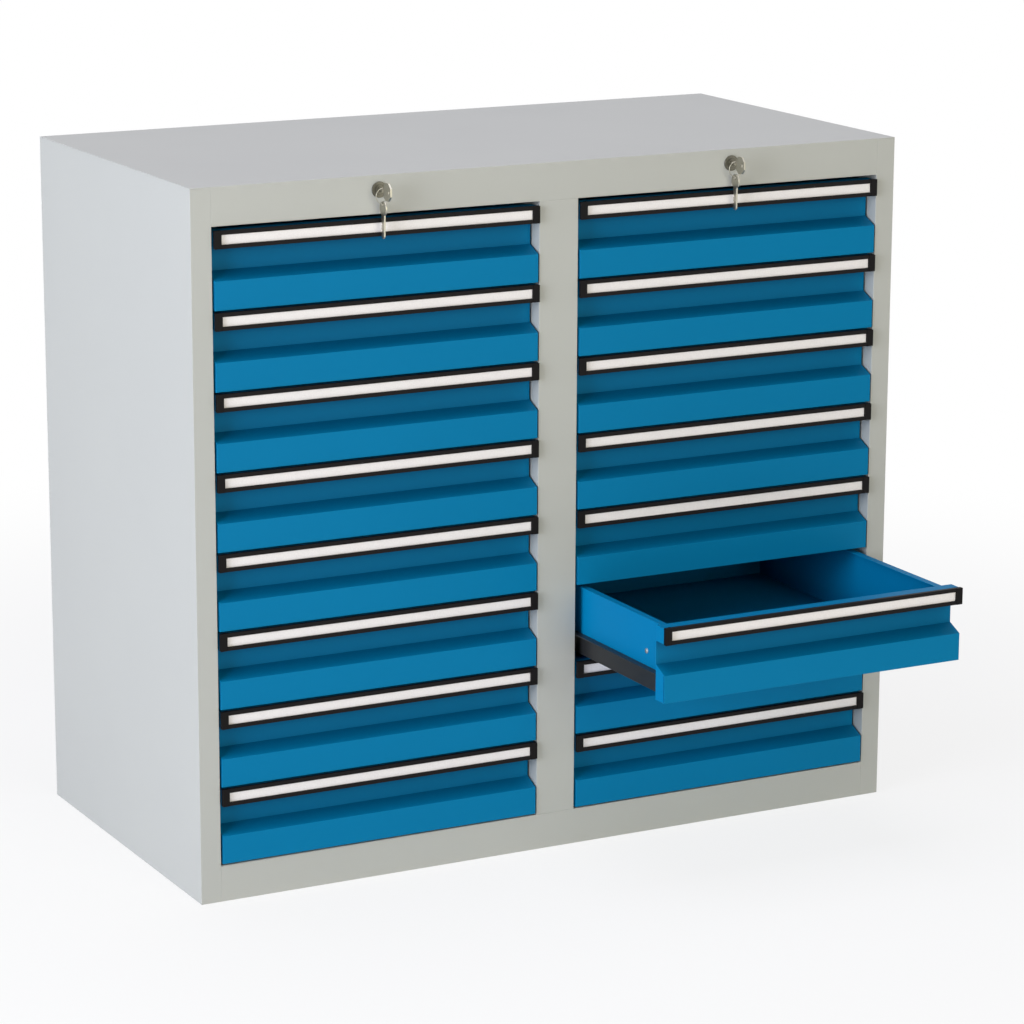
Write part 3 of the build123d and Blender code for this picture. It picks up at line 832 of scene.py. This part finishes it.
@dataclass
class Lock:
    """Lock plug with its key, rod and crank, and the locking bar that it lifts."""

    column: Column
    plug_face_mm: float = 2.5  # ahead of the carcass front
    rod_start_mm: float = 22.0  # behind the carcass front
    edge_mm: float = 0.35

    def build(self) -> None:
        """Dresses the plug in dull nickel, the key in bright nickel, and the rod, crank and bar in zinc."""
        name = f"lock_{self.column.value}"
        lock = frame["nodes"][name]
        dress(lock, BAR_ZINC, KEY_NICKEL, LOCK_NICKEL)
        front = lock_axis(self.column).y
        face = front - self.plug_face_mm * MM
        finish_faces(lock, 1, lambda corner: corner.y < face + TOUCH)
        finish_faces(lock, 2, lambda corner: face - TOUCH < corner.y < front + self.rod_start_mm * MM + TOUCH)
        soften(lock, self.edge_mm)
        bar = frame["nodes"][f"lock_bar_{self.column.value}"]
        dress(bar, BAR_ZINC)
        soften(bar, self.edge_mm, segments=1)
        LOG.info("dressed %s and its bar", name)


@dataclass
class SpareKey:
    """Spare key with cuts along its blade, hung from a split ring of two turns."""

    column: Column
    wire_mm: float = 0.8  # of one turn of the ring
    ring_radius_mm: float = 9.8
    ring_turns: float = 2.0
    ring_steps: int = 44  # facets round one turn
    bow_radius_mm: float = 9.0
    bow_neck: float = 0.46  # angle of the bow that the blade takes up to either side, in radians
    bow_steps: int = 30
    bow_above_tip_mm: float = 37.0
    hole_above_tip_mm: float = 42.0
    hole_radius_mm: float = 2.0
    blade_half_width_mm: float = 3.5
    tip_slope_mm: float = 2.0  # how far the tip tapers in from either side
    tip_rise_mm: float = 2.5
    thickness_mm: float = 2.2
    cut_depths_mm: tuple[float, ...] = (0.8, 1.6, 0.5, 1.9, 1.1)
    cut_pitch_mm: float = 4.0
    cut_slope_mm: float = 1.2
    cut_flat_mm: float = 0.8
    first_cut_mm: float = 4.0
    edge_mm: float = 0.25

    @property
    def body(self) -> str:
        """Body that the ring and the key swing with."""
        return f"spare_key_{self.column.value}"

    def blade_outline(self) -> list[Point]:
        """Works out the outline of the key about its tip: bow, blade, tip and cuts.

        Returns:
            Depth and height of each corner, anticlockwise seen from the right, in metres.
        """
        half, bow = self.blade_half_width_mm, self.bow_radius_mm
        tip = half - self.tip_slope_mm
        outline = [(-half, self.tip_rise_mm), (-tip, 0.0), (tip, 0.0), (half, self.tip_rise_mm)]
        for number, depth in enumerate(self.cut_depths_mm):
            foot = self.first_cut_mm + number * self.cut_pitch_mm
            flat_start = foot + self.cut_slope_mm
            flat_end = flat_start + self.cut_flat_mm
            outline += [
                (half, foot), (half - depth, flat_start), (half - depth, flat_end),
                (half, flat_end + self.cut_slope_mm),
            ]
        shoulder = -pi / 2 + self.bow_neck
        span = 2 * pi - 2 * self.bow_neck
        for step in range(self.bow_steps + 1):
            angle = shoulder + span * step / self.bow_steps
            outline.append((bow * cos(angle), self.bow_above_tip_mm + bow * sin(angle)))
        return [(depth * MM, height * MM) for depth, height in outline]

    def build(self) -> None:
        """Builds the ring and the key in the place of their plain solids."""
        low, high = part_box(self.body)
        middle = (low + high) / 2
        ring_height = high.z - (self.ring_radius_mm + self.wire_mm) * MM
        ring = Shape()
        path = []
        whole = int(self.ring_turns * self.ring_steps)
        for step in range(whole + 1):
            angle = 2 * pi * step / self.ring_steps
            shift = (step / whole - 0.5) * self.wire_mm
            path.append(Vector((
                middle.x + self.ring_radius_mm * MM * cos(angle), middle.y + shift * MM,
                ring_height + self.ring_radius_mm * MM * sin(angle))))
        ring.add_wound(path, self.wire_mm / 2 * MM, Vector((0, 1, 0)))
        split_ring = add_piece(
            f"split_ring_{self.column.value}", ring.corners, ring.faces, KEY_NICKEL, self.body,
            smooth=True)
        key = Shape()
        key.add_plate(Vector((middle.x, middle.y, low.z)), self.blade_outline(), self.thickness_mm * MM)
        key_piece = add_piece(
            f"spare_key_blade_{self.column.value}", key.corners, key.faces, KEY_NICKEL, self.body)
        self.punch_hole(key_piece, Vector((middle.x, middle.y, low.z + self.hole_above_tip_mm * MM)))
        soften(key_piece, self.edge_mm)
        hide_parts(self.body)
        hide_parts(self.body)
        LOG.info("built %s", self.body)

    def punch_hole(self, key: bpy.types.Object, centre: Vector) -> None:
        """Cuts the hole for the ring through the bow.

        Args:
            key: The key's blade.
            centre: Middle of the hole.
        """
        punch = Shape()
        reach = 2 * self.thickness_mm * MM
        radius = self.hole_radius_mm * MM
        punch.add_turned(centre, Vector((1, 0, 0)), [(-reach, radius), (reach, radius)], steps=HEAD_STEPS)
        mesh = bpy.data.meshes.new("punch")
        mesh.from_pydata([tuple(corner) for corner in punch.corners], [], punch.faces)
        tool = bpy.data.objects.new("punch", mesh)
        bpy.context.collection.objects.link(tool)
        cut = key.modifiers.new("hole", "BOOLEAN")
        cut.operation = "DIFFERENCE"
        cut.solver = "EXACT"
        cut.object = tool
        with bpy.context.temp_override(object=key, active_object=key, selected_objects=[key]):
            bpy.ops.object.modifier_apply(modifier=cut.name)
        bpy.data.objects.remove(tool)


def lock_axis(column: Column) -> Vector:
    """Finds where a lock's axis meets the carcass front.

    Args:
        column: Column that the lock closes.

    Returns:
        The point, in the cabinet's frame.
    """
    turn = next(joint for joint in frame["joints"] if joint["name"] == f"lock_{column.value}_turn")
    return Vector(turn["pos_m"])


# ---------------------------------------------------------------- studio


@dataclass(frozen=True)
class SoftBox:
    """Large soft lamp and where it points, in metres and watts."""

    name: str
    place: tuple[float, float, float]
    size: float
    power: float
    tint: str = "#FFFFFF"
    target: tuple[float, float, float] = (0.0, 0.0, 0.45)

    def hang(self) -> None:
        """Adds the lamp to the scene."""
        lamp = bpy.data.lights.new(self.name, "AREA")
        lamp.shape = "SQUARE"
        lamp.size = self.size
        lamp.energy = self.power
        lamp.color = linear(self.tint)[:3]
        holder = bpy.data.objects.new(self.name, lamp)
        holder.location = self.place
        holder.rotation_euler = (Vector(self.target) - Vector(self.place)).to_track_quat("-Z", "Y").to_euler()
        bpy.context.collection.objects.link(holder)


@dataclass
class Studio:
    """Pale floor, white surroundings, soft lamps, and the camera at the photograph's angle."""

    floor_half_width: float = 9.0  # metres
    floor_drop: float = 0.0002  # metres below the cabinet's foot
    ambient: float = 0.09  # share of white that the surroundings give the cabinet as light
    camera_place: tuple[float, float, float] = (-2.2145, -4.3305, 1.5782)  # metres
    yaw: float = 27.779  # degrees, to the right of straight back
    pitch: float = 13.671  # degrees, down
    roll: float = 0.213  # degrees
    lens_mm: float = 131.37
    film_mm: float = 36.0
    lamps: tuple[SoftBox, ...] = (
        SoftBox("left_softbox", (-4.4, -1.6, 1.5), 2.6, 205.0, "#F0F5FF"),
        SoftBox("front_softbox", (0.6, -4.8, 1.5), 2.6, 80.0, "#FFFADD"),
        SoftBox("top_softbox", (0.0, 0.2, 4.4), 3.0, 96.0, "#F2F2FF"),
    )

    def lay_floor(self) -> None:
        """Lays the floor under the cabinet."""
        half, height = self.floor_half_width, -self.floor_drop
        mesh = bpy.data.meshes.new("floor")
        mesh.from_pydata([
            (-half, -half, height), (half, -half, height), (half, half, height), (-half, half, height),
        ], [], [(0, 1, 2, 3)])
        floor = bpy.data.objects.new("floor", mesh)
        bpy.context.collection.objects.link(floor)
        dress(floor, PAPER_WHITE)

    def fill_surroundings(self) -> None:
        """Makes the surroundings white to the eye and in reflections, and a plain fill for the rest."""
        world = bpy.data.worlds.new("white_surroundings")
        bpy.context.scene.world = world
        world.use_nodes = True
        tree = world.node_tree
        back = tree.nodes["Background"]
        ray = add_node(tree, "ShaderNodeLightPath")
        gloss = add_node(tree, "ShaderNodeMath", {"operation": "MAXIMUM"}, {
            0: ray.outputs["Is Camera Ray"], 1: ray.outputs["Is Glossy Ray"],
        })
        seen = add_node(tree, "ShaderNodeMath", {"operation": "MAXIMUM"}, {
            0: gloss.outputs[0], 1: ray.outputs["Is Transmission Ray"],
        })
        strength = add_node(tree, "ShaderNodeMapRange", {"To Min": self.ambient, "To Max": 1.0}, {
            "Value": seen.outputs[0],
        })
        back.inputs["Color"].default_value = linear("#FFFFFF")
        tree.links.new(strength.outputs["Result"], back.inputs["Strength"])

    def set_camera(self) -> None:
        """Places the camera by its yaw, pitch and roll."""
        yaw, pitch, roll = radians(self.yaw), radians(self.pitch), radians(self.roll)
        ahead = Vector((sin(yaw) * cos(pitch), cos(yaw) * cos(pitch), -sin(pitch)))
        level = Vector((cos(yaw), -sin(yaw), 0))
        upright = level.cross(ahead)
        right = level * cos(roll) + upright * sin(roll)
        up = upright * cos(roll) - level * sin(roll)
        lens = bpy.data.cameras.new("camera")
        lens.lens = self.lens_mm
        lens.sensor_width = self.film_mm
        camera = bpy.data.objects.new("camera", lens)
        turn = Matrix((right, up, -ahead)).transposed().to_4x4()
        camera.matrix_world = Matrix.Translation(self.camera_place) @ turn
        bpy.context.collection.objects.link(camera)
        bpy.context.scene.camera = camera

    def build(self) -> None:
        """Builds the floor, the surroundings, the lamps and the camera."""
        bpy.context.scene.view_settings.view_transform = "Standard"
        self.lay_floor()
        self.fill_surroundings()
        for lamp in self.lamps:
            lamp.hang()
        self.set_camera()
        LOG.info("built the studio")


def main() -> None:
    """Builds the cabinet's looks and the studio, in order."""
    logging.basicConfig(level=logging.INFO, format="%(message)s")
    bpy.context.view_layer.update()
    carcass = Carcass()
    carcass.dress_sheets()
    carcass.dress_rails()
    for column in Column:
        count = sum(name.startswith(f"drawer_{column.value}_") for name in frame["bodies"])
        for number in range(1, count + 1):
            Drawer(column, number).build()
        Lock(column).build()
        SpareKey(column).build()
    Studio().build()


if __name__ == "__main__":
    main()
